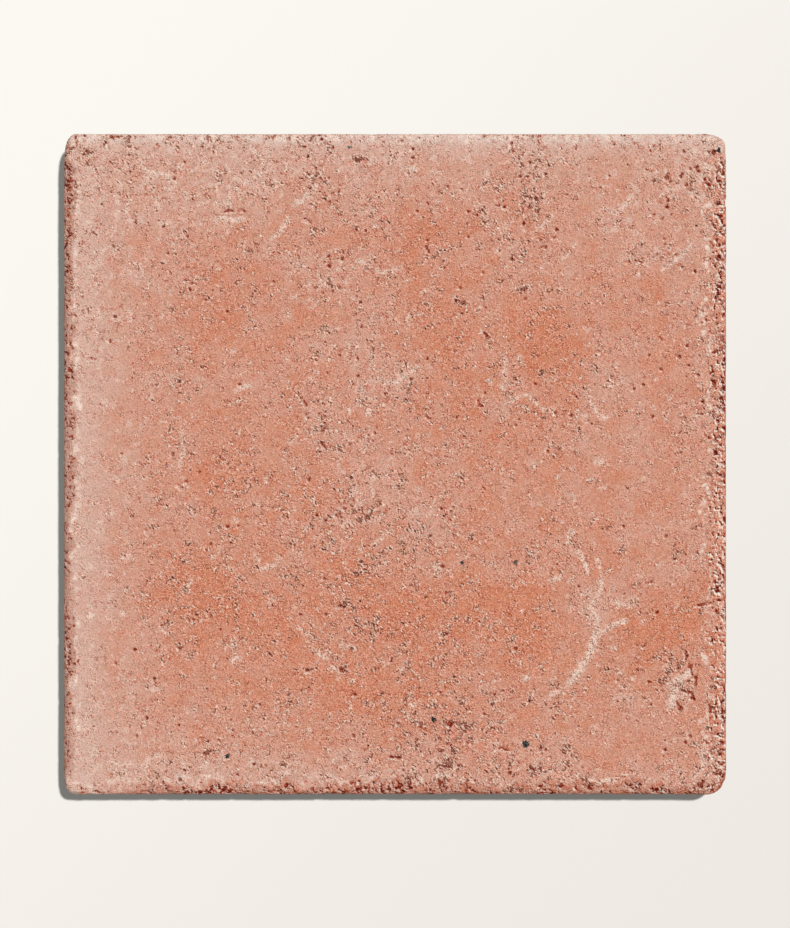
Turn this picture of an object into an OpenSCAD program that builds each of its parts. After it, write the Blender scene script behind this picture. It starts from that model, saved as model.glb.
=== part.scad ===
// Cast composite stone paving tile with tumbled, worn edges.
// Millimetres. The tile lies flat: its bedding face is on Z = 0 and +Z points out of the
// wearing face. The origin is the centre of the bedding face.

/* [Tile] */
// Width of the tile from left to right, along X
tile_w = 300; // [150:1:600]
// Depth of the tile from front to back, along Y
tile_d = 300; // [150:1:600]
// Thickness from the bedding face to the wearing face
tile_t = 20; // [12:0.5:60]

/* [Corners and edges] */
// Plan radius that tumbling has worn on the four corners
corner_r = 6; // [5:0.1:20]
// Radius worn on the edge round the wearing face
arris_r = 3; // [1:0.1:4]
// Chamfer that the mould leaves round the bedding face
back_chamfer = 0.8; // [0.3:0.1:2]

/* [Heavier wear along the right edge] */
// How far in from the right side the wearing face starts to fall away
worn_w = 6.5; // [5:0.1:15]
// How far the face has fallen by the time it reaches the right side
worn_drop = 2; // [1:0.1:4]

/* [Hidden] */
$fn = 96;
// How far cutters run past the faces that they cut
past = 5;
// The worn surface is an arc that leaves the wearing face level at worn_w in from the side
worn_arc_r = (worn_w * worn_w + worn_drop * worn_drop) / (2 * worn_drop);

// Section through an edge, drawn from X = 0 out to the side face at X = reach
module edge_section(reach) {
    polygon([
        [0, 0],
        [reach - back_chamfer, 0],
        [reach, back_chamfer],
        [reach, tile_t - arris_r],
        [reach - arris_r, tile_t - arris_r],
        [reach - arris_r, tile_t],
        [0, tile_t]
    ]);
    translate([reach - arris_r, tile_t - arris_r])
        intersection() {
            circle(r = arris_r);
            square(arris_r);
        }
}

// One straight side of the given length, its side face towards +X
module straight_side(length) {
    translate([0, length / 2, 0])
        rotate([90, 0, 0])
            linear_extrude(length)
                edge_section(corner_r);
}

// Evenly worn slab: a plain core, four straight sides and four turned corners
module slab() {
    core_w = tile_w - 2 * corner_r;
    core_d = tile_d - 2 * corner_r;
    translate([-core_w / 2, -core_d / 2, 0])
        cube([core_w, core_d, tile_t]);
    for (side = [0, 1]) {
        rotate(side * 180) translate([core_w / 2, 0, 0]) straight_side(core_d);
        rotate(90 + side * 180) translate([core_d / 2, 0, 0]) straight_side(core_w);
    }
    for (sx = [-1, 1], sy = [-1, 1])
        translate([sx * core_w / 2, sy * core_d / 2, 0])
            rotate(atan2(sy, sx) - 45)
                rotate_extrude(angle = 90)
                    edge_section(corner_r);
}

// Stone lost along the right edge: what lies above the worn arc
module right_edge_loss() {
    length = tile_d + 2 * past;
    arc_z = tile_t - worn_arc_r;
    translate([tile_w / 2 - worn_w, length / 2, arc_z])
        rotate([90, 0, 0])
            linear_extrude(length)
                difference() {
                    square([worn_w + past, worn_arc_r + past]);
                    circle(r = worn_arc_r, $fn = 4 * $fn);
                }
}

// The whole tile is one casting
module tile() {
    color([0.80, 0.58, 0.50])
        difference() {
            slab();
            right_edge_loss();
        }
}

tile();
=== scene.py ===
"""A cast composite stone tile, tumbled and weathered, lying face up on a pale floor.

The frame is in metres, with +X to the right, +Y to the back and +Z out of the wearing face. The tile
is worked out in millimetres. Places on its face are from the middle of a tile DRAWN_WIDTH wide, and
face_scale fits them to the frame.

The order is: sizes, noise, the slab's mesh, its marks, its relief, its materials, then the room.
"""

import math

import bmesh
import bpy
import numpy as np
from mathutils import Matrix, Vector


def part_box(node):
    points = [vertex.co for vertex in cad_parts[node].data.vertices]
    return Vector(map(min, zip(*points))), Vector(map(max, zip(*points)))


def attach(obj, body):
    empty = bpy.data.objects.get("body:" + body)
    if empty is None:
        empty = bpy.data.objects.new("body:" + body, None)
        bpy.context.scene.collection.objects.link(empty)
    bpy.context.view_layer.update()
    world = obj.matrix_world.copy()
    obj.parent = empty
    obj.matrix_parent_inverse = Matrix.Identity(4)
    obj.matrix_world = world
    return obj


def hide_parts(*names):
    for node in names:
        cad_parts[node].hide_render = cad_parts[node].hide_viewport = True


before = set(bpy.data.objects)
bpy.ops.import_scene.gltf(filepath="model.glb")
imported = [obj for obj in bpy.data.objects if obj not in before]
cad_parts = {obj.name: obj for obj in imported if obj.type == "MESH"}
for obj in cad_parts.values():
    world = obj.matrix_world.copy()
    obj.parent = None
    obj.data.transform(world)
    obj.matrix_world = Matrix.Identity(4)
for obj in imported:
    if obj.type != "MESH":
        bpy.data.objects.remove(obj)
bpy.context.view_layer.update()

# ---- sizes, in millimetres

MM = 0.001  # one millimetre in the frame's metres
DRAWN_WIDTH = 300
tile_low, tile_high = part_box("tile")
width, depth, thick = ((b - a) / MM for a, b in zip(tile_low, tile_high))
half_w, half_d = width / 2, depth / 2
face_scale = width / DRAWN_WIDTH

RIGHT, BACK, LEFT, FRONT = (1, 0), (0, 1), (-1, 0), (0, -1)  # the ways the sides face

# How the plan of each corner is worn, counter-clockwise from the left front one: the signs of its
# X and Y, its reach along X and along Y, and how far its arc is flattened towards the chord.
CORNERS = [
    (-1, -1, 4.8, 7.0, 0.0),
    (1, -1, 9.0, 9.0, 0.0),
    (1, 1, 9.5, 4.5, 0.25),
    (-1, 1, 5.0, 8.0, 0.05),
]

# How far in the edge of the face is worn along each side, and how far down where it meets the side
WORN_EDGES = {RIGHT: (6.5, 2.8), BACK: (2.9, 2.3), LEFT: (3.2, 2.4), FRONT: (3.2, 3.0)}

# How crumbly the face is along each side, how far in, and how much painted light the crumbs' tops get
CRUMBLY_EDGES = {RIGHT: (1.6, 9, 0.8), BACK: (0.9, 4.5, 0.5), LEFT: (1.8, 6, 0.25), FRONT: (1.6, 7, 0.4)}

BACK_CHAMFER = 0.8
CORNER_BREAK = 9.5  # the radius of the break at the front right corner
CHIPPED_BAND = 7.0  # how far in from the sides the edge is chipped

# What chance places: how many, the least and the greatest radius, and how much rarer large ones are
CHIPS = 140, 1.0, 3.0, 2.5
CRUMBS = 700, 0.3, 0.95, 2.2
AIR_HOLES = 150, 0.5, 2.0, 3
RANDOM_PITS, RANDOM_PIT_INSET = 110, 4
RANDOM_PIT_SHARES = {0.35: 0.35, 0.45: 0.3, 0.6: 0.25, 0.8: 0.1}  # by their radius

# The mesh: a grid of cells on the face, and rows of rings round it down to the bedding face, where the
# number of cells is halved twice, a little further in each time
FACE_CELLS, CORNER_STEPS = 160, 16
FLAT_ROWS, ARRIS_ROWS, SIDE_ROWS, BACK_ROWS = 4, 6, 10, 2
MARGIN = 10.0  # how far in from the sides the rings start
BACK_HALVINGS, HALVING_SHARE = 2, 0.03

# Where the mesh is made finer: how deep below the face, how far in from the sides (further on the
# right half), and how far round the marks. Away from the sides, large marks are made finer again.
FINE_DEPTH, FINE_INSET, FINE_INSET_RIGHT, FINE_ROUND_MARKS = 5.5, 4.2, 7.5, 1.1
FINER_DEPTH, FINER_INSET, FINER_ROUND_MARKS, LARGE_MARK = 4, 3, 0.35, 0.5

SHARP_ANGLE = 60  # degrees

rng = np.random.default_rng(7)


# ---- noise for the relief

def lattice(i, j, k, seed):
    """A repeatable random number from -1 to 1 for each point of a whole-number lattice."""
    mixed = (i * 73856093) ^ (j * 19349663) ^ (k * 83492791) ^ (seed * 2654435761)
    mixed = (mixed ^ (mixed >> 13)) * 1274126177 & 0xFFFFFFFF
    mixed = (mixed ^ (mixed >> 16)) * 2246822519 & 0xFFFFFFFF
    return ((mixed >> 8) & 0xFFFF) / 32767.5 - 1


def smooth(t):
    return t * t * (3 - 2 * t)


def noise(points, cell, seed):
    """Smooth noise from -1 to 1 over points, in cells of the given size."""
    at = points / cell + 1000
    base = np.floor(at).astype(np.int64)
    part = smooth(at - base)
    total = np.zeros(len(points))
    for corner in np.ndindex(2, 2, 2):
        weight = np.prod(np.where(corner, part, 1 - part), axis=1)
        total += weight * lattice(*(base + corner).T, seed)
    return total


def fractal(points, cell, octaves, seed):
    """Noise with finer and fainter octaves on top."""
    total, size = 0, 0
    for octave in range(octaves):
        total = total + noise(points, cell / 2 ** octave, seed + octave) / 2 ** octave
        size += 1 / 2 ** octave
    return total / size


def ramp(value, start, end):
    """0 before start, 1 after end, and smooth between."""
    return smooth(np.clip((value - start) / (end - start), 0, 1))


# ---- the slab

def corner_arc(corner):
    """The plan of one worn corner, counter-clockwise."""
    sx, sy, reach_x, reach_y, flattened = corner
    first = {(-1, -1): 180, (1, -1): 270, (1, 1): 0, (-1, 1): 90}[sx, sy]
    share = np.linspace(0, 1, CORNER_STEPS + 1)
    angles = np.radians(first + 90 * share)
    arc = np.stack([reach_x * np.cos(angles), reach_y * np.sin(angles)], 1)
    chord = arc[0] + share[:, None] * (arc[-1] - arc[0])
    middle = np.array([sx * (half_w - reach_x), sy * (half_d - reach_y)])
    return middle + arc + flattened * (chord - arc)


def outline(count):
    """Points round the plan of the tile, count to a side, from the middle of the left front corner."""
    arcs = [corner_arc(c) for c in CORNERS]
    half = CORNER_STEPS // 2
    points = []
    for arc, following in zip(arcs, arcs[1:] + arcs[:1]):
        path = np.concatenate([arc[half:], following[:half + 1]])
        steps = np.linalg.norm(np.diff(path, axis=0), axis=1)
        along = np.concatenate([[0], np.cumsum(steps)])
        wanted = np.linspace(0, along[-1], count, endpoint=False)
        points.append(np.stack([np.interp(wanted, along, path[:, a]) for a in (0, 1)], 1))
    return np.concatenate(points)


def square_ring(reach_x, reach_y, count):
    """Points round a rectangle, count to a side, counter-clockwise from the left front corner."""
    share = np.linspace(-1, 1, count, endpoint=False)
    one = np.ones(count)
    sides = [(share, -one), (one, share), (-share, one), (-one, -share)]
    return np.concatenate([np.stack([reach_x * x, reach_y * y], 1) for x, y in sides])


def worn_by(outward, which):
    """One of the sizes in WORN_EDGES, blended by which way each point of a ring faces."""
    return sum(
        np.clip(outward @ np.array(side, float), 0, None) ** 2 * sizes[which]
        for side, sizes in WORN_EDGES.items()
    )


def gap_to(side, plan):
    """How far in from one side each point of the face lies."""
    return (half_w if side[0] else half_d) - plan @ np.array(side, float)


def gaps_to_sides(plan):
    return np.array([gap_to(side, plan) for side in WORN_EDGES])


def band_of(plan):
    """How wide the worn band is along the side nearest to each point of the face."""
    bands = np.array([reach for reach, drop in WORN_EDGES.values()])
    return bands[np.argmin(gaps_to_sides(plan), axis=0)]


class Slab:
    """Collects the slab's vertices and faces, and the place in the bake map of each face's corners.

    A corner is a vertex and its place. A ring is a function that gives the corner for the number of
    a point and of the quad that wants it.
    """

    def __init__(self):
        self.vertices, self.faces, self.places, self.backs = [], [], [], []
        self.insets, self.bands = [], []

    def add_vertices(self, plan, height, inset=MARGIN, band=1.0):
        """Adds points, with how far in from the side they lie, and how wide the worn band is there."""
        start, count = len(self.vertices), len(plan)
        self.vertices.extend(map(tuple, np.column_stack([plan, np.broadcast_to(height, count)])))
        self.insets.extend(np.broadcast_to(inset, count))
        self.bands.extend(np.broadcast_to(band, count))
        return np.arange(start, start + count)

    def add_face(self, corners, back):
        vertices, places = zip(*corners)
        self.faces.append([int(vertex) for vertex in vertices])
        self.places.extend(places)
        self.backs.append(back)

    def band(self, outer, inner, count, back):
        """Quads between two rings. The face is on the left going outer to inner."""
        for k in range(count):
            self.add_face([inner(k, k), outer(k, k), outer(k + 1, k), inner(k + 1, k)], back)

    def halving_band(self, outer, inner, count):
        """Triangles between a ring and one with half as many points, count, on the back."""
        for k in range(count):
            a, b, c = (outer(2 * k + step, k) for step in (0, 1, 2))
            d, e = inner(k, k), inner(k + 1, k)
            for triangle in ((a, d, b), (b, d, e), (b, e, c)):
                self.add_face(triangle, True)

    def grid(self, edge, cells, reach, height, place, back=False):
        """A grid of cells with the given vertices round its edge, laid out in the bake map by place."""
        ids = np.empty((cells + 1, cells + 1), int)
        ids[:-1, 0], ids[-1, :-1], ids[:0:-1, -1], ids[0, :0:-1] = np.reshape(edge, (4, cells))
        share = -1 + 2 * np.arange(cells + 1) / cells
        shares = np.stack(np.meshgrid(share, share, indexing="ij"), 2)
        plan = shares[1:cells, 1:cells].reshape(-1, 2) * reach
        made = self.add_vertices(plan, height, gaps_to_sides(plan).min(0), band_of(plan))
        ids[1:cells, 1:cells] = made.reshape(cells - 1, cells - 1)
        places = [[place(*(at * reach)) for at in column] for column in shares]
        for i, j in np.ndindex(cells, cells):
            corners = [(i, j), (i + 1, j), (i + 1, j + 1), (i, j + 1)]
            if back:
                corners.reverse()
            self.add_face([(ids[x, y], places[x][y]) for x, y in corners], back)


# The bake map: the face takes most of it, the four sides lie in strips above, and the bedding face
# has the column on the right. There is room for the face unrolled with its worn edges.
FACE_SPAN, STRIP_PITCH, MAP_GAP = 0.765, 0.052, 0.004
UNROLLED_ROOM, BACK_ROOM = 5, 1
face_uv = (FACE_SPAN - 2 * MAP_GAP) / (width + UNROLLED_ROOM)
back_uv = (1 - FACE_SPAN - 2 * MAP_GAP) / (width + BACK_ROOM)


def face_place(x, y):
    middle = FACE_SPAN / 2
    return middle + x * face_uv, middle + y * face_uv


def back_place(x, y):
    middle = (1 - FACE_SPAN) / 2
    return FACE_SPAN + middle + x * back_uv, middle + y * back_uv


def ring_of(vertices, plan, place):
    """A ring that is laid out in the bake map by its plan."""
    return lambda k, quad: (vertices[k % len(plan)], place(*plan[k % len(plan)]))


def ring_rows(reach, worn_in, worn_down):
    """How far out from the inner ring each row is and how high, and where the face and sides end."""
    rows = [(share * (reach - worn_in), thick + 0 * reach) for share in np.linspace(0, 1, FLAT_ROWS, False)]
    for angle in np.linspace(0, math.pi / 2, ARRIS_ROWS + 1):
        rows.append((reach - worn_in * (1 - math.sin(angle)), thick - worn_down * (1 - math.cos(angle))))
    last_face_row = len(rows) - 1
    for share in np.linspace(0, 1, SIDE_ROWS + 1)[1:]:
        rows.append((reach, (1 - share) * (thick - worn_down) + share * BACK_CHAMFER))
    last_side_row = len(rows) - 1
    for share in np.linspace(1, 0, BACK_ROWS + 1):
        rows.append((share * (reach - BACK_CHAMFER), 0 * reach))
    return rows, last_face_row, last_side_row


def make_slab():
    """The worn slab without its fine relief, with every vertex on the smooth surface."""
    slab = Slab()
    count = FACE_CELLS
    reach = np.array([half_w - MARGIN, half_d - MARGIN])
    inner = square_ring(*reach, count)
    outer = outline(count)
    beyond = np.linalg.norm(outer - inner, axis=1)
    outward = (outer - inner) / beyond[:, None]
    wander = np.column_stack([outer, np.zeros(len(outer))])
    worn_in = worn_by(outward, 0) * (1 + 0.25 * fractal(wander, 14, 2, 11))
    worn_down = worn_by(outward, 1) * (1 + 0.2 * fractal(wander, 18, 2, 12))
    rows, last_face_row, last_side_row = ring_rows(beyond, worn_in, worn_down)

    vertices, lengths = [], [np.zeros(len(beyond))]
    for row, (out, height) in enumerate(rows):
        plan = inner + outward * out[:, None]
        vertices.append(slab.add_vertices(plan, height, beyond - out, worn_in))
        if row:
            step = np.hypot(out - rows[row - 1][0], height - rows[row - 1][1])
            lengths.append(lengths[-1] + step)

    def unrolled(row):
        return ring_of(vertices[row], inner + outward * lengths[row][:, None], face_place)

    def strip(row):
        drop = (lengths[row] - lengths[last_face_row]) * face_uv

        def corner(k, quad):
            side, point = quad // count, k % len(drop)
            along = (k - side * count) / count
            top = FACE_SPAN + (side + 1) * STRIP_PITCH
            return vertices[row][point], (MAP_GAP + along * (FACE_SPAN - 2 * MAP_GAP), top - drop[point])
        return corner

    def underside(row):
        return ring_of(vertices[row], inner + outward * rows[row][0][:, None], back_place)

    slab.grid(vertices[0], count, reach, thick, face_place)
    for row in range(1, len(rows)):
        back = row > last_side_row
        ring = underside if back else strip if row > last_face_row else unrolled
        slab.band(ring(row), ring(row - 1), 4 * count, back)

    # The back needs fewer cells, so its ring is halved on the way in
    ring, cells, shrink = underside(len(rows) - 1), count, 1.0
    for _ in range(BACK_HALVINGS):
        cells //= 2
        shrink -= HALVING_SHARE
        plan = square_ring(*(reach * shrink), cells)
        edge = slab.add_vertices(plan, 0)
        smaller = ring_of(edge, plan, back_place)
        slab.halving_band(ring, smaller, 4 * cells)
        ring = smaller
    slab.grid(edge, cells, reach * shrink, 0, back_place, back=True)
    return slab


# ---- marks on the wearing face

# Broad changes of colour: X, Y, half the size along X and along Y, and how orange the stone is there,
# or how pale where the number is below zero.
TONES = [
    (-68, 88, 13, 18, 0.6), (-80, 65, 14, 14, 0.6), (-18, 101, 22, 9, 0.5), (14, 104, 24, 12, 0.7),
    (16, 81, 14, 12, 0.5), (25, 59, 12, 12, 1), (64, 63, 14, 12, 0.9), (70, 47, 14, 14, 1.1),
    (23, 22, 18, 16, 0.55), (50, 15, 8, 6, 0.6), (-57, 22, 9, 9, 0.5), (-77, -5, 13, 13, 0.9),
    (-41, -12, 10, 8, 0.6), (-95, -46, 14, 11, 0.8), (-86, -58, 18, 13, 0.9), (-66, -71, 18, 12, 1),
    (-18, -53, 14, 10, 0.7), (9, -69, 34, 12, 0.9), (45, -60, 20, 10, 0.7), (61, -78, 14, 11, 1),
    (113, -82, 20, 14, 1), (130, -73, 14, 12, 0.9), (-41, -100, 30, 10, 0.45), (-4, -109, 30, 10, 0.5),
    (118, 40, 20, 35, 0.35), (100, 77, 20, 20, 0.3), (-64, 127, 25, 10, -0.4), (-32, 90, 14, 12, -0.6),
    (-18, 50, 9, 22, -0.7), (-4, 36, 12, 10, -0.8), (-32, 22, 8, 10, -0.5), (-4, -5, 24, 22, -0.6),
    (9, -28, 18, 12, -0.5), (91, -69, 9, 14, -0.9), (105, -100, 9, 14, -0.5), (127, -100, 7, 9, -0.6),
    (95, 45, 10, 10, -0.4), (86, 22, 9, 12, -0.4), (-64, -91, 8, 12, -0.4), (-140, -130, 40, 30, -0.6),
    (-136, 20, 22, 170, -1.1), (0, 140, 160, 12, -0.8), (143, -134, 6, 5, -0.8), (-20, -143, 150, 12, -0.6),
    (-110, -143, 45, 12, -0.4), (112, 112, 20, 20, -0.3), (-100, 122, 36, 18, -0.3),
    (115, 20, 14, 60, -0.15), (-98, 116, 28, 14, -0.5), (-95, 142, 40, 12, -0.4), (-12, 112, 14, 12, -0.3),
    (112, 112, 16, 18, -0.5), (138, 80, 10, 60, -0.5), (140, 138, 10, 12, -1), (112, 30, 16, 26, -0.3),
    (-80, -140, 70, 12, -0.6), (-62, 124, 62, 14, -0.3), (-30, -92, 60, 18, 0.2), (25, -88, 30, 14, 0.2),
    (60, -84, 20, 12, 0.2), (-110, -115, 18, 14, -0.3), (-50, -30, 24, 22, 0.25), (62, -35, 14, 12, 0.35),
    (62, 45, 14, 14, 0.2), (-5, -60, 100, 70, 0.13), (12, 40, 60, 50, 0.08), (0, 130, 160, 30, -0.2),
    (-112, 95, 34, 34, -0.2), (140, 138, 12, 10, -0.5), (-137, -12, 16, 60, 0.12), (-40, -95, 60, 34, 0.1),
    (88, 85, 34, 30, -0.15), (142, -142, 8, 8, -0.8), (0, -75, 130, 60, 0.06), (0, 110, 130, 40, -0.06),
    (62, -62, 12, 12, 0.15),
]

# Where the face is more open and grainy, or smoother where the number is below zero
GRAININESS = [
    (-34, 84, 14, 12, 0.9), (-36, 22, 12, 18, 0.9), (-14, -19, 18, 14, 0.7), (60, 122, 12, 24, 0.9),
    (-38, 130, 10, 16, 0.8), (20, -116, 26, 13, 1.2), (45, -138, 42, 8, 1), (130, 125, 18, 14, 0.5),
    (118, -96, 22, 10, 0.7), (-70, -58, 14, 10, 0.5), (85, 46, 12, 12, 0.5), (-95, -66, 14, 10, 0.5),
    (-132, -20, 20, 120, -0.9), (-135, 90, 16, 40, -0.5), (-56, 35, 9, 50, -0.6), (-56, 110, 12, 12, -0.5),
    (107, -20, 20, 22, -0.7), (116, 75, 14, 34, -0.6), (30, 138, 12, 10, -0.5), (100, -128, 18, 10, -0.5),
    (-138, 136, 18, 16, 1.2), (-112, 140, 14, 10, 0.5), (60, 136, 12, 12, 0.7), (60, 88, 14, 12, 0.4),
    (12, 37, 14, 14, 0.4), (12, -80, 26, 20, 0.7), (30, -85, 16, 12, 0.4), (12, -37, 12, 12, 0.3),
    (36, 138, 14, 10, -0.6), (92, 138, 20, 10, -1), (37, 86, 16, 14, -0.6), (113, 25, 16, 26, -0.6),
    (80, -12, 22, 14, -0.7), (-137, -30, 16, 110, -0.5), (-87, -114, 18, 14, -0.6), (-38, 38, 13, 12, -0.4),
    (-72, 50, 20, 24, -0.3), (112, -118, 20, 14, -0.6), (88, 62, 14, 12, -0.5), (-62, 90, 14, 12, -0.3),
    (92, 2, 22, 16, -0.5), (60, -14, 14, 12, -0.5), (-88, 116, 16, 12, -0.4), (-38, 74, 14, 16, -0.4),
    (85, 108, 14, 30, -0.4), (112, -88, 12, 16, -0.3), (-140, 88, 12, 36, 0.7), (-12, 37, 12, 12, 0.6),
    (14, 36, 10, 10, -0.6), (-12, -62, 14, 36, 0.6), (37, -87, 12, 12, -0.6), (144, 35, 10, 50, 0.5),
    (143, -140, 9, 9, 1), (-108, -140, 18, 12, 0.4), (-110, -62, 14, 10, 0.4), (105, 37, 16, 14, -0.4),
    (-108, -88, 22, 12, -0.3),
]

# The tables below are by radius, or half the width of a line. A spot is its X and Y, and a line is
# the X and Y of every place it runs through. First the open pits, slots and cracks.
PITS = {
    0.35: [(0, -2.6, 3, -2.4), (-41, 23, -39.5, 20.5), (139, -126, 142, -126.6)],
    0.4: [
        (-112, 109), (-88, 104), (-110, 121.5), (-119.4, 23.3), (-123.7, 4.5), (-85, 39.8), (-106.9, 54.6),
        (-59, 1.7), (-56.4, -4.1), (-9.4, -14.2), (-123.7, -22.5), (-73.3, -38.2), (-77.1, -44.8),
        (-98.2, -46), (-110.7, -41.2), (-118.2, -84.2), (-7.4, -70.6), (-39.8, -99), (3.1, 120.1),
        (16.7, 117.2), (-2.7, 105.9), (-9, 72.3), (21.4, 76.6), (82.5, 59.2), (28.8, 41.2), (97.6, 12.8),
        (61.7, 10.2), (103.2, -32.9), (36.9, 1.1), (66.6, -95.7), (74.8, -72.3), (122.5, 71.2),
        (126.2, 65.2), (143.4, 130), (59.3, 107), (-22.2, 18.5), (-33, -140.8), (9.4, -140.8),
        (37.4, 29, 37.8, 27, 39.5, 25.8), (139.9, 12.9, 142.5, 11.2, 146.1, 10.5),
        (-137, -147.6, -134, -148.9),
    ],
    0.45: [
        (-139.5, 47.6, -135.7, 47.4), (-71, 114.7, -68, 114.5), (68.7, 6, 69.8, 5.1),
        (119.3, 57.5, 120.6, 56.2), (46.4, -129, 52.1, -129.6), (80, 31.8, 83, 29.6),
        (136, -64.5, 140, -63.5, 144, -63), (-41.5, 111, -39, 109.5), (136.2, -97, 135.8, -101.5),
    ],
    0.5: [
        (-77, 114.3, -73.5, 114.5), (-42.4, 29.5, -40.1, 26.3), (-33.5, 9.8, -32, 7.5),
        (14, 21.7, 15.8, 20.3), (14, 98.2, 15.2, 95.8), (40, 59.5, 41.6, 57.9),
        (131.4, -84.7, 132.2, -86.8, 131.4, -88.6), (-2.7, -133, 1.8, -133), (146, -62, 148.7, -61.8),
        (133, -90.5, 134.6, -95.5), (130, -102.8, 134, -104, 135.4, -107), (127.5, -108, 128.6, -111),
    ],
    0.55: [
        (-120, 132), (-139.5, 135.5), (-108, 144.5), (-82.5, 141), (-95.5, 136.5), (-105, 107.5), (-94, 103),
        (-92, 81.5), (-93, 79), (-85.5, 74), (-133, 117.5), (-103, 95), (-76, 69), (-144.9, 67.3),
        (-86.8, 43.6), (-79.7, 3), (-88.7, -3.9), (-25.3, 49.2), (-16.9, 47.5), (-39, 15.2), (-34.6, 22.6),
        (-32.3, 18.5), (-13.3, 15.6), (-4.8, 31.8), (-16.9, 39.7), (-34.3, 5.2), (20.7, -20.3), (14.3, 47.5),
        (-10.3, 10.4), (-26.8, -23.2), (-113, -30), (-99.7, -30.5), (-83.6, -36.6), (-71, -28),
        (-106, -73.2), (-91.3, -70.6), (-79.4, -74.9), (-32, -51.7), (-42.7, -68.3), (-31.4, -68.3),
        (-22.8, -79), (-20.1, -84.8), (-2.2, -89.4), (-8.8, -92.9), (22.4, -101.3), (-39.7, 138.9),
        (-39.7, 131.7), (-36, 133.7), (-29.9, 129.4), (-28.7, 122.4), (-29.6, 118.4), (-18.3, 112.5),
        (-23.8, 83.6), (-25.3, 79.8), (-28.4, 78.1), (-36.8, 79.3), (14.7, 117.8), (9.8, 114.3),
        (-30.2, 93.7), (56, 138), (58, 149), (47, 117), (58, 115.4), (64.5, 114), (72, 102.4), (33, 102.7),
        (37, 112.6), (30, 68.2), (59, 74.6), (39.6, 86.5), (106, 91.7), (96.7, 130.2), (72.4, 23),
        (72.4, 16.2), (87.2, 19.3), (55.9, 20.1), (63.2, 36), (84.6, 46.5), (64.3, 48.5), (71.6, 2.6),
        (66.9, 1.6), (110.5, 22.3), (116.7, 21.2), (108, 33.7), (112.3, 35.6), (133, 44.5), (131.8, 39.5),
        (138.7, 63.6), (140.8, 65), (131.8, 27.3), (129.5, 5), (128.5, 13.8), (86.3, -42.1), (82.9, -56),
        (113.9, -54.3), (103.7, -59.2), (100.8, -98), (134, -91.2), (127.8, -92.6), (70.1, -111),
        (68.1, -109), (71.6, -109), (71.3, -115.7), (40.3, -113.4), (65.2, -129.9), (67.8, -129.6),
        (70.1, -132.8), (44, -139.4), (47, -140), (53.6, -141.2), (-21.9, -132), (-23.3, -133.5),
        (3.6, -138.8), (7.7, -136.2), (13.4, -119.9), (18, -125.7), (25, -127.5), (-57.8, -132),
        (-71.6, -140.8), (-74.5, -116), (-75.4, -118.5), (-98, -118.5), (-117, -123), (-109, -97.3),
        (-126.6, -90.4), (-143.7, -89.7), (136, 107.6), (122, 101.8), (122, 99.3), (117, 113), (121, 111),
        (125, 113), (130, 131), (99, 144.5), (115.4, 141.4), (103.5, 149), (-148, 103), (-41, 143.5),
        (3.1, 146.2), (19, 148.5),
    ],
    0.6: [(149.2, -141, 149, -145)],
    0.75: [
        (-100, 132), (-100, 129), (-129.2, 55.5), (-148.1, 43), (-94.7, -8.3), (-39, -7.1), (52.5, 145),
        (53, 141.5), (61, 136.5), (56.5, 130), (68, 131), (65, 148), (59, 120.7), (63.4, 120), (49.5, 116.3),
        (58, 108.5), (73, 106), (68, 98), (53, 92.6), (33, 114), (23.7, 125.3), (27.4, 73.7), (-28.4, 143),
        (-34.8, 149), (-33.4, 147), (7.7, 142.4), (8, 138.5), (14.7, 101.3), (-29.9, 89.7), (132, 126),
        (133.7, 133.6), (142, 141.4), (123.5, 119), (123, 116), (148, 112.7), (145.7, 101.6), (146.7, 98.8),
        (149, 92.3), (145, 89.6), (135.5, 87.2), (142, 126.6), (145.7, 132.2), (130.7, 141.4), (132.2, 53.4),
        (128.7, 48.3), (120.6, 42.7), (137.3, 40), (148.7, 34.2), (144.7, 50.4), (148.7, 50), (149.2, 67.3),
        (139.2, 28.2), (149.6, 13.8), (79.7, 22), (109.6, -93.3), (112.7, -82.4), (143.1, -101),
        (142.1, -109.1), (133.5, -123.4), (131.4, -126.3), (122, -129.4), (62, -138.5), (28.4, -136.5),
        (32.5, -143.8), (35.9, -143.5), (65.8, -146.1), (81.7, -146.4), (94.5, -146.4), (110.7, -145.2),
        (14, -145), (19.8, -145.4), (7, -147.2), (-13.6, -147), (-19.9, -144.6), (-16.4, -144),
        (-30.6, -147.2), (-37.5, -147.2), (-18.9, -123.2), (20, -124), (-112.7, -115.3), (-118, -84.3),
        (-98, -83.4), (-148.3, -69.4), (-148.3, -83.4), (-148.3, -45.1), (-24.8, -64.5), (-97.4, -143.1),
        (-95.6, -139), (-105, -144.3), (139.5, -144.2), (145.9, -140.7), (137.3, -145.9), (-146, 132.5),
        (-128.5, 148), (-147.4, 54.6), (-145, 148), (-140.8, 148.6), (-147.6, 133.5), (-148.4, 119),
        (145.3, -66.8), (136, -97), (133, -92), (134, -106), (145.6, -140.6), (141.5, -146.5), (135.5, -147),
        (124.8, 127.6), (136.4, 134.2), (137.2, 132.6),
    ],
    1.15: [
        (144.3, 36.5), (148.9, 24.4), (145.2, 5), (146.2, 117.8), (74.8, -145.8), (129, -111),
        (-24.5, -93.4), (148.5, 57), (146.2, 93.2), (148.3, -126.8), (144.3, 141), (122.8, 129.6),
        (138.3, -145.8),
    ],
    1.5: [(24.5, -117.8)],
}

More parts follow.
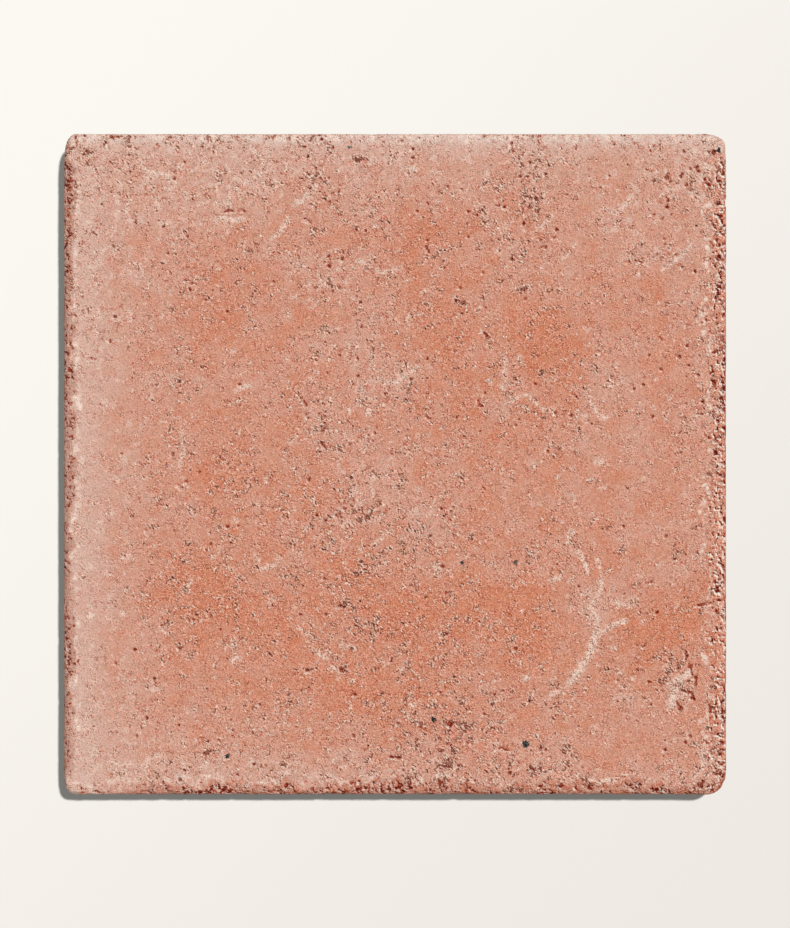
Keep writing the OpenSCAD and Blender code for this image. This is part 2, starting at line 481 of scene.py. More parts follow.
# Chalky spots and lines
CHALK = {
    0.35: [(50.2, 27.2, 56.5, 30.8, 60.6, 31.3, 66.9, 25.6, 68.5, 23)],
    0.4: [(134.6, 99.7, 128, 93, 121, 88), (-117, 138, -112, 132, -105, 131, -99, 127)],
    0.45: [(-43.6, -74, -39.3, -77.5), (-37.5, -83.9, -34, -86.5, -30.6, -88)],
    0.5: [
        (92, -43, 93.5, -48, 93.5, -52, 92.5, -57), (98, -62, 108, -64), (-63.6, -40.4, -61.9, -43.9),
        (-96.5, 15.5, -95.9, 10.3, -97.1, -1.3), (-67, 145, -62, 140, -60, 135),
        (-75, 126, -75.5, 121, -75, 117), (-105.8, -74.4, -103.7, -75.8), (-72.8, -80.2, -72.2, -84.2),
        (48.6, 49.6, 50.4, 45.4, 49.4, 41.2, 50.2, 37), (-58.1, -5.5, -58.1, -8.7),
        (-130, -134.4, -125, -135.6, -120, -136), (10, 67.9, 13, 68.1), (107, 122, 101, 113, 94, 115),
        (71.4, 112.3, 66, 107, 64, 107.6),
    ],
    0.6: [
        (-103, 131), (-102, 125), (-127, 97), (-89, 84), (-102, 78), (-146, 122.6), (-94.7, -10.3),
        (-124.4, 3.2), (46, 97), (50, 89), (66, 88.5), (81, 99), (95, 114.6), (28.6, 67), (96, 130),
        (20.5, 126.7), (-34.5, 114.6), (117.6, 38.8), (67.7, 5.8), (75.7, 7.9), (26.2, 2.6), (-22, -64.5),
        (-39.3, -48.5), (46.7, -72.3), (57.7, -66.2), (58.8, -53.4), (-79.1, -39.3), (-106.3, -49.7),
        (113.9, -106.2), (-38.7, -121), (-61.3, -137.3), (-53.7, -112.4), (132.3, -122), (122.8, -126),
        (-2.5, -143.4), (-58, -46), (-90.4, -125.4), (-116.5, -121.6), (-68.7, -93.8), (-23, -3.5),
        (129.6, -138.8), (123.7, -140.4), (117.3, -143.5), (64.3, -37.5), (-53.2, -110.5), (79.4, -66.2),
        (109.5, 85.8), (39, 60), (16, 27.5), (-105.5, 67.4), (-48.1, 68.2), (-37.4, 71.3), (88.2, -69.9),
        (86.8, -46, 87.5, -50), (-63.6, -47.1, -59, -48, -54.9, -46.2, -52.9, -43.9, -52.6, -41.3),
        (-53, 105, -55.4, 102.4), (-73.9, -89.4, -71, -87.7), (86.2, 31.8, 88.8, 28.7, 91.4, 24),
        (142.6, -134, 139.6, -137.5, 135.4, -141.1), (-16.5, 92, -8, 87.6, -1, 87.4, 3, 88.5),
    ],
    0.7: [
        (92.5, -57, 90, -63, 89.5, -66, 91.5, -69, 90.5, -74, 90, -80), (80, -30.3, 79.4, -33.2, 77.7, -36),
        (70.7, -53, 74.8, -51), (-92.2, -52.4, -96.5, -58.1), (-48.5, 111, -50.7, 107.6, -53, 105),
        (-68.1, 127.3, -63, 130.6, -57.7, 133.7), (-1, 36.5, 5.4, 40, 10, 44), (-10.3, 49.8, -10.3, 44),
        (91.4, 24, 94.5, 20.4, 96.6, 21.4),
    ],
    0.8: [
        (79.5, -98.5, 76, -103.6, 71.5, -105), (82.5, -39.5, 84.6, -42.5, 86.8, -46),
        (-71.6, 32.9, -68.5, 34.8, -65.2, 35.7), (-35.7, 126.2, -40, 122, -44.4, 117.5),
    ],
    0.9: [
        (50, 115), (56, 78.7), (37.3, 69.9), (124.4, 124.3), (121, 121.5), (42.9, 37.6), (56.5, 48),
        (-45, -34.1), (-43.3, -39.3), (-15.8, -38.6), (19, -46.5), (-82.6, -42.5), (-27.7, -92.3),
        (-25.3, -96.6), (2.8, -92.9), (-137.6, -64), (107.6, -96.7), (112.1, -71.9), (-14.4, 33),
        (-38.1, 38.2), (-16.1, -13.4), (-71.9, -25.7), (-73.3, 51.4), (149.3, -115.3), (-53.9, 125.6),
        (64.6, -137.7), (-148.5, 10), (-53.2, -144.3), (-23.6, -82.8), (8.3, -108.8), (-123.4, -67.7),
        (90, -78, 96.8, -74, 103.7, -71.5), (-78.5, 112, -74, 110.6, -68, 111),
    ],
    1.3: [(90, -80, 88.5, -84.5, 85.5, -89.5, 82.5, -94, 79.5, -98.5)],
    1.4: [
        (8.9, 134), (6.3, 133.4), (48.6, 35), (58.8, -97.5), (-138, -68.5), (92.4, 0.5), (-15, 33),
        (-20.4, 24.5), (-11.4, 24), (-35.4, 15.4), (19.2, -46.5), (125.5, -104, 124.4, -109.6),
    ],
    1.5: [(133.5, -93.8, 130.5, -96.5)],
    2.4: [(129, -98, 126.6, -101)],
}

# Dark stone chippings, bared by wear
CHIPPINGS = {
    0.5: [(-109, -97)],
    0.7: [(-20.6, 143.5)],
    0.85: [(54.6, -44.5)],
    0.95: [(30.4, -44.7)],
    1: [(146.7, 142.2)],
    1.1: [(-75.6, -132.4)],
    1.2: [(17.5, -115.8)],
    1.6: [(59.1, -126.7)],
}


def fitted(table):
    """The marks of a table, as pairs of a radius and a path of one or more places on this tile."""
    marks = [(radius, path) for radius, paths in table.items() for path in paths]
    return [(radius, np.reshape(path, (-1, 2)) * face_scale) for radius, path in marks]


def inside(points, marks, reach=2.0):
    """How far each point is inside the nearest mark, in millimetres: below zero outside, down to -reach."""
    field = np.full(len(points), -reach)
    for radius, path in marks:
        close = np.all((points > path.min(0) - radius - reach) & (points < path.max(0) + radius + reach), 1)
        near = points[close]
        if not len(near):
            continue
        distance = np.linalg.norm(near - path[0], axis=1)
        for start, end in zip(path, path[1:]):
            line = end - start
            along = np.clip((near - start) @ line / (line @ line), 0, 1)
            distance = np.minimum(distance, np.linalg.norm(near - start - along[:, None] * line, axis=1))
        field[close] = np.maximum(field[close], radius - distance)
    return field


def patches(plan, table):
    """The sum of soft round patches: X, Y, half the size along X and along Y, and the amount."""
    return sum(
        amount * np.exp(-((plan[:, 0] - x) / reach_x) ** 2 - ((plan[:, 1] - y) / reach_y) ** 2)
        for x, y, reach_x, reach_y, amount in table
    )


def random_pits():
    """Small pits over the whole face, more of them where it is grainy."""
    radii, shares = list(RANDOM_PIT_SHARES), list(RANDOM_PIT_SHARES.values())
    made = []
    while len(made) < RANDOM_PITS:
        place = rng.uniform(-1, 1, 2) * (half_w - RANDOM_PIT_INSET, half_d - RANDOM_PIT_INSET)
        if rng.uniform(-1, 1.6) < patches(place[None], GRAININESS)[0]:
            made.append((rng.choice(radii, p=shares), place[None]))
    return made


pits, chalk, chippings = fitted(PITS) + random_pits(), fitted(CHALK), fitted(CHIPPINGS)


# ---- finer mesh where there is detail

def split_faces(bm, wanted):
    """Splits in four each face with a wanted corner. wanted takes the corners' places and insets."""
    inset = bm.verts.layers.float["inset"]
    bm.verts.index_update()
    points = np.array([v.co for v in bm.verts])
    chosen = wanted(points, np.array([v[inset] for v in bm.verts]))
    edges = {edge for face in bm.faces if any(chosen[v.index] for v in face.verts) for edge in face.edges}
    bmesh.ops.subdivide_edges(bm, edges=list(edges), cuts=1, use_grid_fill=True)


def near_detail(points, insets):
    """Faces split once: the worn edge all round, and round every mark."""
    near_face = points[:, 2] > thick - FINE_DEPTH
    edge = (insets < FINE_INSET_RIGHT) & ((insets < FINE_INSET) | (points[:, 0] > 0))
    return near_face & (edge | (inside(points[:, :2], pits + chalk + chippings) > -FINE_ROUND_MARKS))


def near_pits(points, insets):
    """Faces split again: the larger pits and the chippings."""
    large = [mark for mark in pits if mark[0] >= LARGE_MARK] + chippings
    deep = inside(points[:, :2], large) > -FINER_ROUND_MARKS
    return (points[:, 2] > thick - FINER_DEPTH) & (insets > FINER_INSET) & deep


def add_attribute(mesh, name, values):
    data = mesh.attributes.new(name, "FLOAT", "POINT").data
    data.foreach_set("value", np.array(values, np.float32))


def to_mesh(slab):
    mesh = bpy.data.meshes.new("stone_tile")
    mesh.from_pydata(slab.vertices, [], slab.faces)
    mesh.uv_layers.new(name="OFBake").data.foreach_set("uv", np.array(slab.places, np.float32).ravel())
    mesh.polygons.foreach_set("material_index", np.array(slab.backs, np.int32))
    add_attribute(mesh, "inset", slab.insets)
    add_attribute(mesh, "band", slab.bands)
    bm = bmesh.new()
    bm.from_mesh(mesh)
    split_faces(bm, near_detail)
    split_faces(bm, near_pits)
    bmesh.ops.triangulate(bm, faces=[face for face in bm.faces if len(face.verts) > 4])
    bm.normal_update()
    bm.to_mesh(mesh)
    bm.free()
    return mesh


def read(collection, name, size):
    """An array with a row of so many numbers for each item."""
    values = np.empty(len(collection) * size, np.float32)
    collection.foreach_get(name, values)
    return values.reshape(-1, size).astype(float)


# ---- the relief

mesh = to_mesh(make_slab())
points = read(mesh.vertices, "co", 3)
normals = read(mesh.vertex_normals, "vector", 3)
inset, band = (read(mesh.attributes[name].data, "value", 1)[:, 0] for name in ("inset", "band"))
plan = points[:, :2]


def towards(side, start, end):
    """0 further in than start from one side, 1 nearer to it than end, and smooth between."""
    half = half_w if side[0] else half_d
    return ramp(plan @ np.array(side, float), half - start, half - end)


def wandered(points, size, amount, seed):
    """Points shifted about by noise, so that marks drawn on them have uneven outlines."""
    return points + amount * np.column_stack([noise(points, size, seed + axis) for axis in range(3)])


def on_top(marks, where, elsewhere=-2):
    """How far inside marks on the face each point is, and what the sides and the back have instead."""
    return np.where(on_face, inside(where[:, :2], marks), elsewhere)


def random_marks(weights, count, least, greatest, rarity):
    """Marks centred on random points of the surface, as likely as their weights make them."""
    chosen = rng.choice(len(points), count, p=weights / weights.sum())
    sizes = least + (greatest - least) * rng.random(count) ** rarity
    return [(size, points[k][None]) for size, k in zip(sizes, chosen)]


# How far in each point lies as a share of the worn band, and what kind of surface it is on
edge = np.clip(inset / band, 0, 3)
under = ramp(-normals[:, 2], 0.5, 0.9)
side = (1 - ramp(abs(normals[:, 2]), 0.2, 0.75)) * (points[:, 2] < thick - 2)
worn = (1 - ramp(edge, 0.85, 1.35)) * (1 - side) * (1 - under)
face = (1 - worn) * (1 - side) * (1 - under)
on_face = side + under < 0.5
to_right, to_left = towards(RIGHT, 16, 8), towards(LEFT, 16, 8)
to_back, to_front = towards(BACK, 14, 6), towards(FRONT, 14, 6)
grainy = np.clip(patches(plan / face_scale, GRAININESS), -1, 1.2)

# Pits, with painted shade on their side towards the key light and a painted highlight on their lip away from
# it
uneven = wandered(points, 1.6, 0.35, 31)
pit_field = on_top(pits, uneven)
shade_field = on_top(pits, uneven - 0.25)
painted_lip_highlight_field = on_top(pits, uneven + 0.6) - 2 * np.clip(pit_field, 0, 1)

# Crumbled edges, least along the back and along the left end of the front
crumble, painted_edge_light = np.zeros(len(points)), np.zeros(len(points))
ragged = 0.35 * noise(points, 7, 61) + 0.25 * noise(points, 2.5, 62)
patchy = 1 + 0.35 * noise(points, 11, 63) + 0.3 * grainy
# The crumbs along each side also get a share of painted light, strongest on the sides that face the key
# light
for outward, (amount, reach, lit) in CRUMBLY_EDGES.items():
    broken = amount * patchy * (1 - ramp(gap_to(outward, plan) / reach + ragged, 0.4, 1.2))
    crumble = np.maximum(crumble, broken)
    painted_edge_light = np.maximum(painted_edge_light, lit * broken)
crumble *= 1 - 0.6 * np.maximum(to_back * (1 + 0.5 * to_right), to_front * towards(LEFT, 50, 5))

# The look of the edge fades out down the sides: 0 at the face, 1 low down
fading = ramp(thick - points[:, 2], 1, 6)
crumbly_look = crumble * (1 - fading) + 0.3 * side * fading
crumble = crumble * (1 - side) * (1 - under) + 0.3 * side
edge_wear = crumble * on_face
chips = random_marks(edge_wear * (inset < CHIPPED_BAND), *CHIPS)
crumbled = random_marks(edge_wear, *CRUMBS)
corner_break = [(CORNER_BREAK, np.array([[half_w - 1, 1 - half_d, thick]]))]
chip_field = np.maximum(inside(uneven, chips), inside(uneven, corner_break) * (1 - side))
crumb_field = inside(uneven, crumbled)
bubble_field = inside(uneven, random_marks(side, *AIR_HOLES))

# Heights above the smooth surface. The outline stays nearly straight, because little of the wear
# reaches where the surface turns down. First the face: broad waves, and its grain.
level = 0.3 + 0.7 * ramp(normals[:, 2], 0.1, 0.7)
height = face * (0.1 * noise(points, 45, 1) + 0.05 * fractal(points, 12, 2, 2) - 0.1)
height += face * (0.02 + 0.03 * np.clip(grainy, 0, 1)) * fractal(points, 2.6, 2, 4)
# The worn edge, roughest along the right
height += worn * level * (1 + 0.3 * to_right - 0.4 * to_back) * (0.22 * fractal(points, 5, 2, 5) - 0.1)
height += worn * level * (0.12 + 0.2 * to_right + 0.1 * to_front) * noise(points, 1.8, 7)
# The sides, and how far each stands out, and the bedding face
height += side * (0.07 * fractal(points, 8, 2, 8) + 0.06 * fractal(points, 2.5, 2, 10))
outer = 1 - ramp(abs(normals[:, 2]), 0.3, 0.95)
height += outer * (0.05 * to_left + 0.2 * to_right - 0.35 * to_back - 0.14 * to_front)
height -= under * 0.06 * (1 + fractal(points, 14, 3, 12))
# Pits, broken edges and air holes
height -= np.clip(1.3 * pit_field, 0, 1.5)
height -= level * (np.clip(0.35 * chip_field, 0, 1.4) + np.clip(crumb_field, 0, 1.1))
height -= np.clip(1.2 * bubble_field, 0, 1.5)
mesh.vertices.foreach_set("co", ((points + normals * height[:, None]) * MM).ravel())

# What the material reads from each point. The stone is paler along the left side, and along the back a paler
# band is a painted highlight where the edge faces the key light.
bleach_and_lit_back = np.maximum(
    to_back * (1.2 - 0.9 * ramp(gap_to(BACK, plan), 1.5, 8)),
    0.45 * (1 - ramp(gap_to(LEFT, plan), 6, 24)),
)
SURFACE = {
    "tone": patches(plan / face_scale, TONES),
    "grainy": grainy,
    "crumble": crumbly_look,
    "painted_edge_light": painted_edge_light * on_face,
    "bleach_and_lit_back": bleach_and_lit_back * (1 - fading),
    # The pits, crumbs and air holes are painted dark: partly their colour, partly painted shade, which in
    # the pits is moved towards the key light
    "pit_and_shade": np.minimum(np.maximum(shade_field, np.maximum(bubble_field - 0.5, crumb_field - 0.2)), 0.45),
    # A painted highlight on the lip of each pit, on the side away from the key light
    "painted_lip_highlight": painted_lip_highlight_field,
    "chalk": on_top(chalk, wandered(uneven, 6, 0.9, 41), -4),
    "chipping": on_top(chippings, uneven, -4),
}
for name, values in SURFACE.items():
    add_attribute(mesh, name, values)
for name in ("inset", "band"):
    mesh.attributes.remove(mesh.attributes[name])
mesh.update()
mesh.polygons.foreach_set("use_smooth", np.ones(len(mesh.polygons), bool))
mesh.set_sharp_from_angle(angle=math.radians(SHARP_ANGLE))


# ---- materials

def colour(red, green, blue):
    """A colour from 0-255 sRGB numbers, as Blender's linear one."""
    parts = [part / 255 for part in (red, green, blue)]
    return [part / 12.92 if part < 0.04045 else ((part + 0.055) / 1.055) ** 2.4 for part in parts] + [1]


class Signal:
    """A number that the shader works out at each point. Arithmetic on it adds Math nodes."""

    def __init__(self, graph, socket):
        self.graph, self.socket = graph, socket

    def combine(self, operation, other):
        node = self.graph.node("ShaderNodeMath", {0: self, 1: other}, operation=operation)
        return Signal(self.graph, node.outputs[0])

    def __add__(self, other):
        return self.combine("ADD", other)

    def __sub__(self, other):
        return self.combine("SUBTRACT", other)

    def __mul__(self, other):
        return self.combine("MULTIPLY", other)

    __radd__, __rmul__ = __add__, __mul__

    def __rsub__(self, other):
        return (self * -1) + other

    def most(self, other):
        return self.combine("MAXIMUM", other)

    def ramp(self, start, end):
        """0 up to start, 1 from end on, and smooth between. Falls where start is above end."""
        low, high, before, after = (start, end, 0, 1) if start < end else (end, start, 1, 0)
        limits = {"Value": self, "From Min": low, "From Max": high, "To Min": before, "To Max": after}
        node = self.graph.node("ShaderNodeMapRange", limits, interpolation_type="SMOOTHSTEP")
        return Signal(self.graph, node.outputs["Result"])


class Graph:
    """The nodes of a material or of the world."""

    def __init__(self, owner):
        owner.use_nodes = True
        self.owner, self.tree = owner, owner.node_tree

    def node(self, kind, inputs=(), **settings):
        made = self.tree.nodes.new(kind)
        for name, value in settings.items():
            setattr(made, name, value)
        self.wire(made, inputs)
        return made

    def wire(self, node, inputs):
        """Gives a node's inputs, by name or number, signals, other nodes' sockets or plain values."""
        for key, value in dict(inputs).items():
            if isinstance(value, Signal):
                value = value.socket
            if isinstance(value, bpy.types.NodeSocket):
                self.tree.links.new(value, node.inputs[key])
            else:
                node.inputs[key].default_value = value


class Paint(Graph):
    """A material's nodes, which mix its colour coat by coat. Every size is in millimetres of the tile."""

    STEP = (31.7, 17.3, 7.9)  # from one pattern to the next, so that no two line up

    def __init__(self, name, base):
        super().__init__(bpy.data.materials.new(name))
        self.base = base
        where = self.node("ShaderNodeTexCoord").outputs["Object"]
        scaled = self.node("ShaderNodeVectorMath", {0: where, "Scale": 1 / MM}, operation="SCALE")
        self.place = scaled.outputs[0]

    def attribute(self, name):
        return Signal(self, self.node("ShaderNodeAttribute", attribute_name=name).outputs["Fac"])

    def moved(self, shift, turn=0.0, stretch=1.0, aside=0.0):
        """The place, shifted, stretched along a line at an angle in degrees, and then moved aside."""
        mapping = self.node("ShaderNodeMapping", {
            "Vector": self.place,
            "Location": [step * shift + more for step, more in zip(self.STEP, (aside, aside, 0))],
            "Rotation": (0, 0, math.radians(turn)),
            "Scale": (stretch, 1, 1),
        }, vector_type="TEXTURE")
        return mapping.outputs[0]

    def noise(self, size, shift, detail=1.0, rough=0.5, **moves):
        """Smooth noise of about -1 to 1."""
        where = {"Vector": self.moved(shift, **moves), "Scale": 1 / size}
        texture = self.node("ShaderNodeTexNoise", {**where, "Detail": detail, "Roughness": rough})
        return (Signal(self, texture.outputs["Fac"]) - 0.5) * 4

    def cells(self, size, shift, **moves):
        """Grains: three random numbers, 0 to 1, that each grain has to itself."""
        where = {"Vector": self.moved(shift, **moves), "Scale": 1 / size}
        texture = self.node("ShaderNodeTexVoronoi", where)
        parts = self.node("ShaderNodeSeparateColor", {0: texture.outputs["Color"]})
        return [Signal(self, part) for part in parts.outputs]

    def mix(self, first, second, share):
        """From the first colour to the second by a share, which is clamped to 0-1."""
        return self.node("ShaderNodeMix", {0: share, 6: first, 7: second}, data_type="RGBA").outputs[2]

    def coat(self, colour, share):
        """Mixes a colour over what is painted so far, by a share."""
        self.base = self.mix(self.base, colour, share)

    def finish(self, roughness, height):
        """Ends in the shader, with a roughness and a height in millimetres."""
        bump = self.node("ShaderNodeBump", {"Distance": MM, "Filter Width": 1, "Height": height})
        self.wire(self.tree.nodes["Principled BSDF"], {
            "Base Color": self.base,
            "Roughness": roughness,
            "Specular IOR Level": 0.05,
            "Normal": bump.outputs[0],
        })
        return self.owner


PALE = colour(214, 167, 149)
ORANGE = colour(209, 128, 96)
SAND = colour(255, 200, 176)
# Pale grains, also used for painted highlights on lit pit walls and on the crests of crumbs
PALE_GRAIN_AND_HIGHLIGHT = colour(255, 243, 226)
UMBER = colour(104, 40, 14)
RED = colour(214, 126, 106)
OCHRE = colour(196, 156, 124)
# Chalky white, also used for the painted highlight on the lit lips of pits
CHALK_AND_HIGHLIGHT_WHITE = colour(247, 225, 209)
BLEACHED_AND_LIT = colour(228, 204, 192)
RUST = colour(222, 124, 92)
BLUSH = colour(212, 100, 84)
# Dark red for pits, holes and gaps: their colour, and painted shade in them
PIT_DARK_AND_SHADE = colour(118, 22, 0)
PIT_RED = colour(188, 80, 40)
FLANK = colour(196, 90, 0)
CRUMB_RED = colour(150, 30, 14)
# Brown crumbs, darker as painted shade on the edges away from the key light
CRUMB_BROWN_AND_SHADE = colour(140, 76, 56)
STONE_DARK = colour(44, 42, 36)
STONE_BLUE = colour(104, 112, 114)
CONCRETE_PALE = colour(196, 156, 140)
CONCRETE_DARK = colour(176, 126, 106)
CONCRETE_SAND = colour(222, 196, 180)
FLOOR_PALE = colour(252, 249, 242)
FLOOR_GREY = colour(238, 233, 226)
BACKDROP = colour(245, 242, 238)


def cast_stone():
    """The wearing face and the sides: orange-pink cast stone with sandy grain, pits and chalky marks."""
    stone = Paint("cast_stone", PALE)
    coat = stone.coat
    tone, grainy, crumble, painted_edge_light, bleach_and_lit_back, pit_and_shade, painted_lip_highlight, chalk, chipping = map(stone.attribute, SURFACE)
    drift, cloud, clump = stone.noise(14, 1), stone.noise(6, 2), stone.noise(2.4, 3)
    fine = stone.cells(0.38, 5)
    medium = stone.cells(0.75, 6, turn=-45, stretch=1.3)
    coarse = stone.cells(1.5, 7, turn=-45, stretch=1.3)
    # The second pattern of each pair is the first moved away from the key light, and places painted
    # highlights on the lit walls of pits and crumbs
    crevice, crevice_lit_wall = (stone.noise(0.85, 8, 3, 0.75, turn=-45, stretch=1.45, aside=a) for a in (0, -0.42))
    rubble, rubble_lit_rim = (stone.noise(1.9, 13, 4, 0.7, turn=-60, stretch=1.15, aside=a) for a in (0, -0.6))
    crust = stone.noise(1.1, 9, detail=3, rough=0.8)
    crumbs = (medium[0] - 0.5) * 0.9 + (fine[2] - 0.5) * 0.7

    # How open the grain is here, and how light or dark each grain
    openness = 0.65 * grainy + 0.8 * stone.noise(7, 4) + 1.3 * stone.noise(2.6, 10) - 0.3 * drift
    open_grain = 0.78 + 0.36 * openness + 0.1 * crumble + 0.4 * chalk.ramp(-1.2, 0.5)
    open_grain = open_grain.most(0.35)
    lightness = (fine[0] - 0.5) * 3 * open_grain

    # Broad patches of orange, red, ochre and paler stone
    redness = stone.noise(3.2, 11) + 0.3 * openness
    bloom = stone.noise(4, 12, detail=2) + 0.4 * openness - 0.3 * tone
    blush = stone.noise(1.8, 14, detail=2) + 0.4 * openness
    coat(ORANGE, 0.52 + 0.42 * tone + 0.27 * drift + 0.2 * cloud + 0.13 * clump)
    coat(RED, redness.ramp(0.2, 1.2) * 0.7)
    coat(OCHRE, redness.ramp(-0.3, -1.3) * 0.4)
    coat(CHALK_AND_HIGHLIGHT_WHITE, bloom.ramp(0.2, 1.2) * 0.48)
    # Paler stone along the left side, and a painted highlight along the back edge
    coat(BLEACHED_AND_LIT, bleach_and_lit_back * (0.85 + 0.25 * cloud))
    coat(BLUSH, blush.ramp(0.4, 0.9) * 0.5)
    coat(RUST, crumble.ramp(0.3, 1.3) * (0.35 + 0.4 * redness + 0.3 * clump - 0.5 * bleach_and_lit_back))

    # Chalky marks, which are solid at the middle and single grains further out, then the grains
    rim_of_wear = crumble.ramp(0.0, 0.2) * crumble.ramp(1.2, 0.4)
    chalky = (chalk * 0.6 + crust * 1.2 - crumbs * 0.6 + 0.2).ramp(0.1, 0.46)
    coat(CHALK_AND_HIGHLIGHT_WHITE, rim_of_wear * (0.2 + 0.6 * cloud + 0.9 * clump))
    coat(CHALK_AND_HIGHLIGHT_WHITE, chalk.ramp(-1.5, 0.8) * 0.2)
    coat(CHALK_AND_HIGHLIGHT_WHITE, chalky * (0.7 + 0.3 * medium[2]))
    coat(SAND, lightness * 0.52)
    coat(UMBER, lightness * -0.44)

    # Small open pits and pale grains wherever chance puts them, more of them where the grain is open. The
    # pits are painted dark, as their colour and as painted shade, and some pale grains are a painted
    # highlight on the wall of a pit away from the key light
    opened = 0.52 * openness
    small_pits = (crevice + opened).ramp(0.75, 0.83) * (0.6 + 0.4 * coarse[2])
    pale_grains_and_highlights = (crust + opened).ramp(0.66, 0.75).most((crevice_lit_wall + opened).ramp(0.78, 0.9) * 0.6)
    coat(PALE_GRAIN_AND_HIGHLIGHT, pale_grains_and_highlights * (0.55 + 0.4 * coarse[1]))
    coat(FLANK, (crevice + opened).ramp(0.34, 0.66) * 0.5)
    coat(PIT_DARK_AND_SHADE, small_pits)

    # Rubble where the edge has crumbled: painted highlights on its crests where they face the key light, red
    # flanks, dark gaps of painted shade, and browner crumbs, as painted shade, on the sides away from the
    # light
    broken = rubble + 0.45 * crumble - 0.96
    lit_crest = (rubble_lit_rim + 0.45 * crumble - 0.9).ramp(-0.1, 0.1)
    coat(PALE_GRAIN_AND_HIGHLIGHT, lit_crest * painted_edge_light * (0.5 + 0.5 * medium[1]))
    coat(CRUMB_BROWN_AND_SHADE, crumble.ramp(0.5, 1.6) * (0.5 - 0.45 * painted_edge_light))
    coat(PIT_RED, broken.ramp(-0.2, 0.0) * (0.1 + 0.6 * coarse[1]))
    crumb_by_light = stone.mix(CRUMB_BROWN_AND_SHADE, CRUMB_RED, painted_edge_light)
    coat(crumb_by_light, broken.ramp(-0.03, 0.08) * (0.6 + 0.4 * medium[0]))
    coat(PIT_DARK_AND_SHADE, broken.ramp(0.05, 0.16) * (0.45 + 0.7 * painted_edge_light))

    # Pits in their places, with outlines broken up by the grain. They are painted dark red, as their colour
    # and as painted shade, with a painted highlight on the lip on the lit side
    hollow = pit_and_shade + crevice * 0.4 + rubble * 0.5 - crumbs * 0.4
    coat(CHALK_AND_HIGHLIGHT_WHITE, (painted_lip_highlight + crumbs).ramp(0.0, 0.4) * (0.3 + 0.7 * medium[2]))
    coat(PIT_RED, hollow.ramp(-0.3, 0.1) * (0.3 + 0.6 * medium[1]))
    coat(CRUMB_RED, hollow.ramp(-0.05, 0.25) * (0.4 + 0.5 * coarse[2]))
    coat(PIT_DARK_AND_SHADE, hollow.ramp(0.15, 0.5) * (0.1 + 0.9 * coarse[2]))
    dark_stone = stone.mix(STONE_DARK, STONE_BLUE, medium[2].ramp(0.4, 1.2))
    coat(dark_stone, (chipping + crumbs * 0.7).ramp(-0.1, 0.1))

    relief = open_grain * ((fine[0] - 0.5) * 0.3 + (medium[2] - 0.5) * 0.15) + clump * 0.06
    relief = relief - small_pits * 0.4 - hollow.ramp(-0.3, 0.5) * 0.4 - broken.ramp(-0.1, 0.4) * 0.5
    return stone.finish(0.9 + 0.04 * clump, relief)


def bedding_stone():
    """The underside: plain cast concrete, greyer and rougher, with air holes and the mould's drag lines."""
    stone = Paint("bedding_stone", CONCRETE_PALE)
    cloud, clump = stone.noise(14, 21, detail=3), stone.noise(1.6, 22, detail=2)
    fine, drag = stone.cells(0.8, 23), stone.cells(2.0, 25, turn=4, stretch=9)
    grain = (fine[0] - 0.5) + 0.3 * clump + 0.3 * (drag[0] - 0.5)
    holes = (stone.noise(3.5, 26) + 0.4 * (fine[1] - 0.5)).ramp(0.95, 1.15)
    stone.coat(CONCRETE_DARK, 0.5 + 0.3 * cloud + 0.2 * clump)
    stone.coat(CONCRETE_SAND, grain * 0.4)
    stone.coat(UMBER, grain * -0.3)
    # The air holes are painted dark, as their colour and as painted shade
    stone.coat(PIT_DARK_AND_SHADE, holes * 0.8)
    return stone.finish(0.92 + 0.04 * clump, grain * 0.12 + cloud * 0.1 - holes * 0.7)


def add_object(name, data):
    made = bpy.data.objects.new(name, data)
    bpy.context.scene.collection.objects.link(made)
    return made


tile = add_object("stone_tile", mesh)
mesh.materials.append(cast_stone())
mesh.materials.append(bedding_stone())
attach(tile, "root")
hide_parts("tile")
tile.visible_diffuse = False  # so that its colour doesn't spill onto the pale floor


# ---- the room: floor, lights and camera

# Each light's share of full light, and for the two suns, in degrees, their lean from straight overhead
# towards the right and the back, and how wide they look
KEY = 0.79, 22.0, 3.4
TOP = 0.15, 0, 20
SKY_SHARE = 0.06
LAMP_DISTANCE, FLOOR_REACH, VIEW_END = 2, 4.0, 20  # in metres
FACE_SHARE = 0.7141  # of the picture's height that the face fills
LENS, SENSOR = 100.0, 36.0


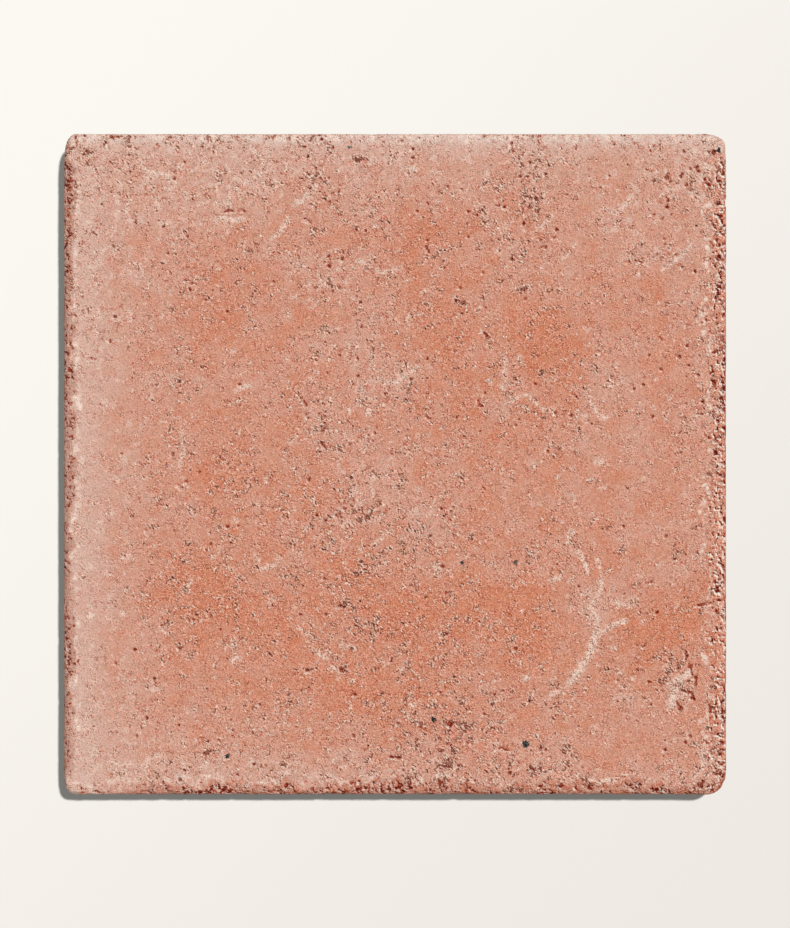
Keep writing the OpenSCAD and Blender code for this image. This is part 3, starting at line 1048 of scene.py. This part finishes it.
def sun(name, share, lean, wide):
    """A sun that gives a level surface a share of full light."""
    light = bpy.data.lights.new(name, "SUN")
    light.energy = share * math.pi / math.cos(math.radians(lean))
    light.angle = math.radians(wide)
    aim = Vector((1, 1, 0)).normalized() * math.sin(math.radians(lean))
    aim.z = math.cos(math.radians(lean))
    lamp = add_object(name, light)
    lamp.rotation_euler = aim.to_track_quat("Z", "Y").to_euler()
    lamp.location = aim * LAMP_DISTANCE


def floor():
    """A plain pale floor, a little warmer and darker towards the front right."""
    paint = Paint("pale_floor", FLOOR_PALE)
    parts = paint.node("ShaderNodeSeparateXYZ", {0: paint.place})
    across, back = (Signal(paint, parts.outputs[axis]) for axis in (0, 1))
    paint.coat(FLOOR_GREY, (across - back).ramp(-1.4 * width, 1.4 * width))
    mesh = bpy.data.meshes.new("floor")
    mesh.from_pydata([(x * FLOOR_REACH, y * FLOOR_REACH, 0) for x, y, *_ in CORNERS], [], [(0, 1, 2, 3)])
    mesh.materials.append(paint.finish(0.9, paint.noise(3, 41) * 0.002))
    obj = add_object("floor", mesh)


def sky():
    """A faint even light from all round, which the camera sees as a pale background."""
    world = bpy.data.worlds.new("studio")
    bpy.context.scene.world = world
    graph = Graph(world)
    light = graph.tree.nodes["Background"]
    graph.wire(light, {"Color": (1, 1, 1, 1), "Strength": SKY_SHARE})
    seen = graph.node("ShaderNodeBackground", {"Color": BACKDROP})
    rays = graph.node("ShaderNodeLightPath").outputs
    shown = Signal(graph, rays["Is Camera Ray"]).most(rays["Is Glossy Ray"])
    shown = shown.most(rays["Is Transmission Ray"])
    mix = graph.node("ShaderNodeMixShader", {0: shown, 1: light.outputs[0], 2: seen.outputs[0]})
    graph.wire(graph.tree.nodes["World Output"], {0: mix.outputs[0]})


def camera():
    """Straight above the middle of the face, with the back of the tile at the top of the picture."""
    data = bpy.data.cameras.new("camera")
    data.lens, data.sensor_width = LENS, SENSOR
    data.clip_end = VIEW_END
    obj = add_object("camera", data)
    obj.location = (0, 0, (thick + depth / FACE_SHARE * LENS / SENSOR) * MM)
    bpy.context.scene.camera = obj


sun("key_light", *KEY)
sun("top_light", *TOP)
floor()
sky()
camera()
bpy.context.scene.view_settings.view_transform = "Standard"
